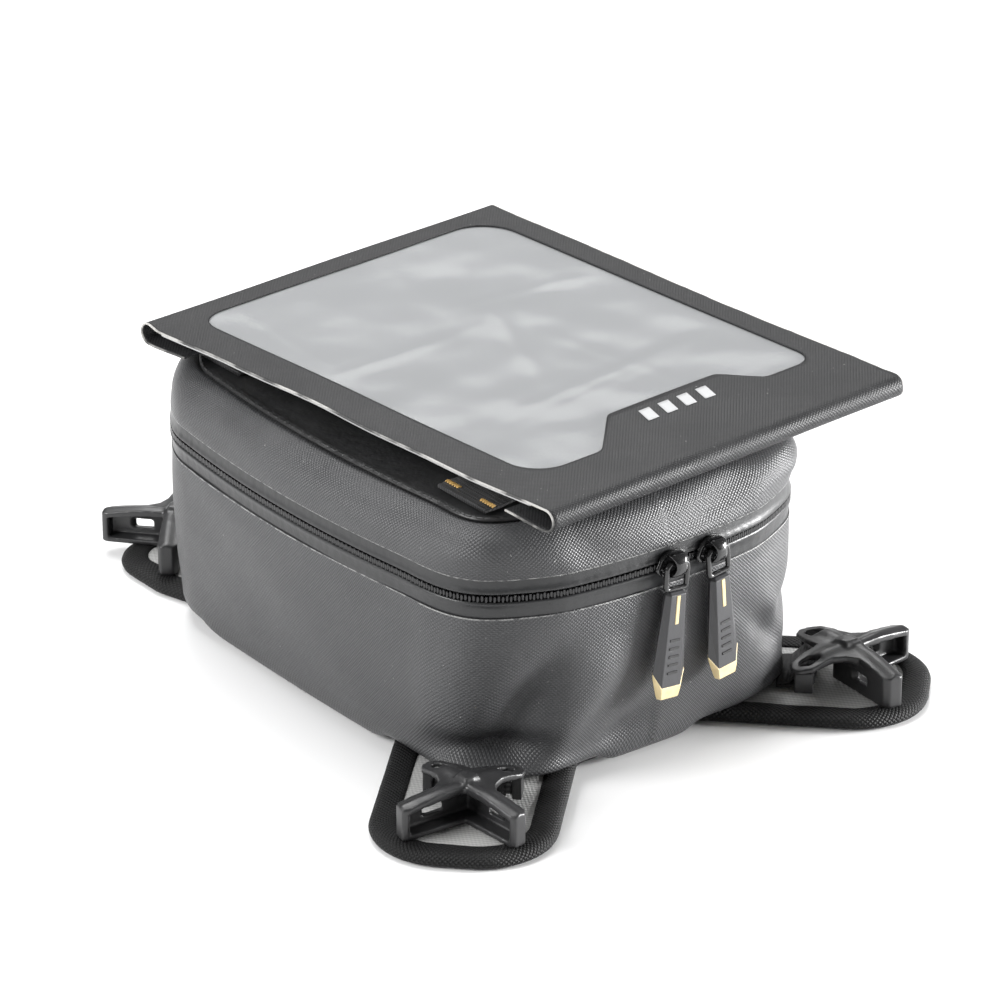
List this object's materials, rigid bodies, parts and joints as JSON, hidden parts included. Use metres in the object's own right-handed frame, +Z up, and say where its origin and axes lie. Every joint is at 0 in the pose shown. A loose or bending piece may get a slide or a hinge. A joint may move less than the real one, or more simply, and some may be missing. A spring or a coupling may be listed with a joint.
{
  "type": "motorcycle tank bag",
  "caption": "Soft zip-top motorcycle tank bag on a flexible pad with strap hooks at its corners and a see-through phone pocket held over the lid.",
  "frame": {"origin": "centre of the bag body on the plane of the pad's underside", "axes": "+Z up, -Y towards the rider (the face with the zip pullers), X across the tank"},
  "size_m": [0.2094, 0.2577, 0.1015],
  "materials": {
    "pvc_tarpaulin": "satin coated fabric",
    "pvc_smooth_black": "smooth satin",
    "pocket_sheet": "satin coated fabric",
    "clear_film": "clear flexible film",
    "grey_lining": "plain weave",
    "grey_twill": "fine twill",
    "black_webbing": "braided",
    "black_tape": "coated zip tape",
    "black_zip": "moulded teeth",
    "slider_black": "gloss",
    "puller_grey": "satin",
    "puller_gold": "satin",
    "gold_thread": "thread",
    "hook_black": "satin moulded",
    "foam": "closed-cell foam",
    "grip_rubber": "embossed anti-slip",
    "board_plastic": "plain sheet",
    "reflective_print": "reflective print"
  },
  "bodies": {
    "bag": {"base_grip_sheet": "grip_rubber", "base_foam": "foam", "base_top_sheet": "grey_twill", "base_binding": "black_webbing", "base_board": "board_plastic", "body_shell": "pvc_tarpaulin", "body_lining": "grey_lining", "zipper_tape_lower": "black_tape", "zipper_chain_lower": "black_zip", "zipper_end_stops": "black_zip", "rear_hinge_strip": "pvc_tarpaulin", "hook_tab_front_left": "black_webbing", "hook_tab_front_right": "black_webbing", "hook_tab_rear_left": "black_webbing", "hook_tab_rear_right": "black_webbing"},
    "lid": {"lid_shell": "pvc_tarpaulin", "lid_board": "board_plastic", "lid_top_panel": "pvc_smooth_black", "lid_strap_front": "black_webbing", "lid_strap_rear": "black_webbing", "strap_bar_tacks": "gold_thread", "zipper_tape_upper": "black_tape", "zipper_chain_upper": "black_zip", "pocket_back": "grey_lining", "pocket_window": "clear_film", "pocket_frame": "pocket_sheet", "pocket_mark": "reflective_print", "pocket_fold_front": "pocket_sheet", "pocket_fold_rear": "pocket_sheet", "hook_loop_front": "black_webbing", "hook_loop_rear": "black_webbing"},
    "slider_left": {"slider_left": "slider_black"},
    "puller_left": {"puller_loop_left": "slider_black", "puller_body_left": "puller_grey", "puller_tip_left": "puller_gold", "puller_inlay_left": "puller_gold"},
    "slider_right": {"slider_right": "slider_black"},
    "puller_right": {"puller_loop_right": "slider_black", "puller_body_right": "puller_grey", "puller_tip_right": "puller_gold", "puller_inlay_right": "puller_gold"},
    "hook_front_left": {"hook_front_left": "hook_black"},
    "hook_front_right": {"hook_front_right": "hook_black"},
    "hook_rear_left": {"hook_rear_left": "hook_black"},
    "hook_rear_right": {"hook_rear_right": "hook_black"}
  },
  "joints": [
    {"name": "lid_hinge", "type": "hinge", "parent": "bag", "child": "lid", "pos_m": [0, 0.1002, 0.0678], "axis": [-1, 0, 0], "range_deg": [0, 100]},
    {"name": "slider_left_run", "type": "hinge", "parent": "bag", "child": "slider_left", "pos_m": [0, 0.1255, 0.0678], "axis": [0, 0, 1], "range_deg": [-10, 0]},
    {"name": "puller_left_swing", "type": "hinge", "parent": "slider_left", "child": "puller_left", "pos_m": [0.0004, -0.1031, 0.0692], "axis": [-0.9962, -0.0017, 0.0872], "range_deg": [0, 150]},
    {"name": "slider_right_run", "type": "hinge", "parent": "bag", "child": "slider_right", "pos_m": [0, 0.1255, 0.0678], "axis": [0, 0, 1], "range_deg": [0, 5.5]},
    {"name": "puller_right_swing", "type": "hinge", "parent": "slider_right", "child": "puller_right", "pos_m": [0.01634, -0.10251, 0.0692], "axis": [-0.9936, -0.0712, -0.0872], "range_deg": [0, 150]},
    {"name": "hook_front_left_lift", "type": "hinge", "parent": "bag", "child": "hook_front_left", "pos_m": [-0.0661, -0.0881, 0.0082], "axis": [-0.7071, 0.7071, 0], "range_deg": [0, 45]},
    {"name": "hook_front_right_lift", "type": "hinge", "parent": "bag", "child": "hook_front_right", "pos_m": [0.0661, -0.0881, 0.0082], "axis": [-0.7071, -0.7071, 0], "range_deg": [0, 45]},
    {"name": "hook_rear_left_lift", "type": "hinge", "parent": "bag", "child": "hook_rear_left", "pos_m": [-0.024, 0.1125, 0.0082], "axis": [0, 1, 0], "range_deg": [0, 22]},
    {"name": "hook_rear_right_lift", "type": "hinge", "parent": "bag", "child": "hook_rear_right", "pos_m": [0.024, 0.1125, 0.0082], "axis": [0, -1, 0], "range_deg": [0, 22]}
  ]
}
